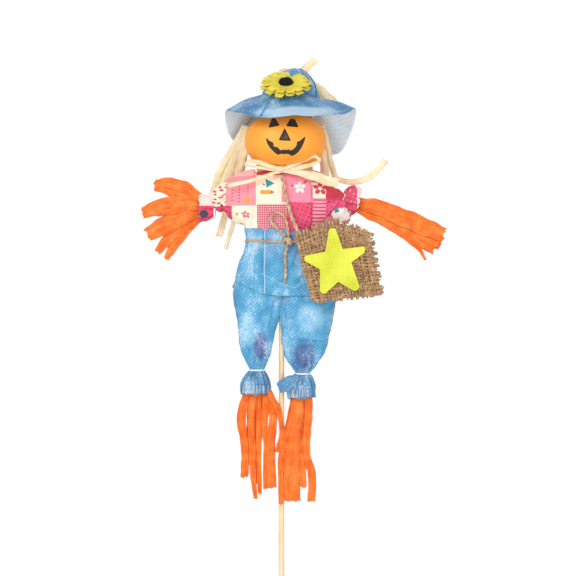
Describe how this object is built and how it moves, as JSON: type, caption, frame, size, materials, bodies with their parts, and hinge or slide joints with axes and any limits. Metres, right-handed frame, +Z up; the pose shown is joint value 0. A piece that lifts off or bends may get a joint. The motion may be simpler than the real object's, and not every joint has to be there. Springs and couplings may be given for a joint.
{
  "type": "scarecrow figure on a stick",
  "caption": "Decorative scarecrow on a bamboo stick, with a round painted head, cloth hat and clothes, raffia hair, paper-strip hands and feet, and a burlap bag.",
  "frame": {"origin": "centre of the stick's flat lower end", "axes": "+Z up along the stick, -Y the way the figure faces, +X to the right as seen from the front"},
  "size_m": [0.2457, 0.102, 0.5],
  "materials": {
    "bamboo": "bare bamboo",
    "wire": "annealed wire",
    "painted_foam": "painted foam",
    "raffia": "dry raffia",
    "denim_print": "printed cotton",
    "petal_cloth": "starched cloth",
    "flower_pile": "pile",
    "green_plastic": "moulded",
    "patchwork_print": "printed cotton",
    "wadding": "polyester wadding",
    "elastic": "thread",
    "orange_paper": "crinkled paper",
    "jute": "twisted jute",
    "burlap": "open plain weave",
    "lime_felt": "pressed felt",
    "dark_yarn": "yarn"
  },
  "bodies": {
    "figure": {"stick": "bamboo", "crossbar": "bamboo", "crossbar_lashing": "wire", "head": "painted_foam", "hair_pad": "raffia", "hair_left": "raffia", "hair_right": "raffia", "hair_back": "raffia", "hair_top": "raffia", "hat_crown": "denim_print", "hat_brim": "denim_print", "flower_petals": "petal_cloth", "flower_centre": "flower_pile", "flower_hub": "green_plastic", "shirt_torso": "patchwork_print", "torso_wadding": "wadding", "sleeve_left": "patchwork_print", "sleeve_right": "patchwork_print", "neck_wrap": "raffia", "neck_bow_knot": "raffia", "neck_bow_loops": "raffia", "neck_bow_tails": "raffia", "trousers_hips": "denim_print", "belt_twine": "jute", "belt_knot": "jute", "belt_bow_loop": "jute", "belt_tail": "jute"},
    "left_leg": {"trouser_leg_left": "denim_print"},
    "right_leg": {"trouser_leg_right": "denim_print"},
    "left_foot": {"ankle_tie_left": "elastic", "trouser_cuff_left": "denim_print", "foot_strips_left": "orange_paper"},
    "right_foot": {"ankle_tie_right": "elastic", "trouser_cuff_right": "denim_print", "foot_strips_right": "orange_paper"},
    "left_hand": {"wrist_tie_left": "elastic", "sleeve_cuff_left": "patchwork_print", "hand_strips_left": "orange_paper"},
    "right_hand": {"wrist_tie_right": "elastic", "sleeve_cuff_right": "patchwork_print", "hand_strips_right": "orange_paper"},
    "bag": {"strap_front": "jute", "strap_rear": "jute", "bag_back": "burlap", "bag_front": "burlap", "felt_star": "lime_felt", "bag_stitches": "dark_yarn"}
  },
  "joints": [
    {"name": "left_hip", "type": "hinge", "parent": "figure", "child": "left_leg", "pos_m": [-0.0208, -0.0015, 0.297], "axis": [-1, 0, 0], "range_deg": [0, 50]},
    {"name": "right_hip", "type": "hinge", "parent": "figure", "child": "right_leg", "pos_m": [0.0232, -0.0015, 0.297], "axis": [-1, 0, 0], "range_deg": [0, 50]},
    {"name": "left_ankle", "type": "hinge", "parent": "left_leg", "child": "left_foot", "pos_m": [-0.0197, -0.0015, 0.2486], "axis": [-1, 0, 0], "range_deg": [-30, 35]},
    {"name": "right_ankle", "type": "hinge", "parent": "right_leg", "child": "right_foot", "pos_m": [0.0168, -0.0015, 0.2458], "axis": [-1, 0, 0], "range_deg": [-30, 35]},
    {"name": "left_wrist", "type": "hinge", "parent": "figure", "child": "left_hand", "pos_m": [-0.0535, 0.004, 0.3761], "axis": [0, 1, 0], "range_deg": [-15, 15]},
    {"name": "right_wrist", "type": "hinge", "parent": "figure", "child": "right_hand", "pos_m": [0.0498, 0.004, 0.3865], "axis": [0, 1, 0], "range_deg": [-15, 4]},
    {"name": "bag_swing", "type": "hinge", "parent": "figure", "child": "bag", "pos_m": [0.0008, -0.0164, 0.408], "axis": [0, 1, 0], "range_deg": [0, 12]}
  ]
}
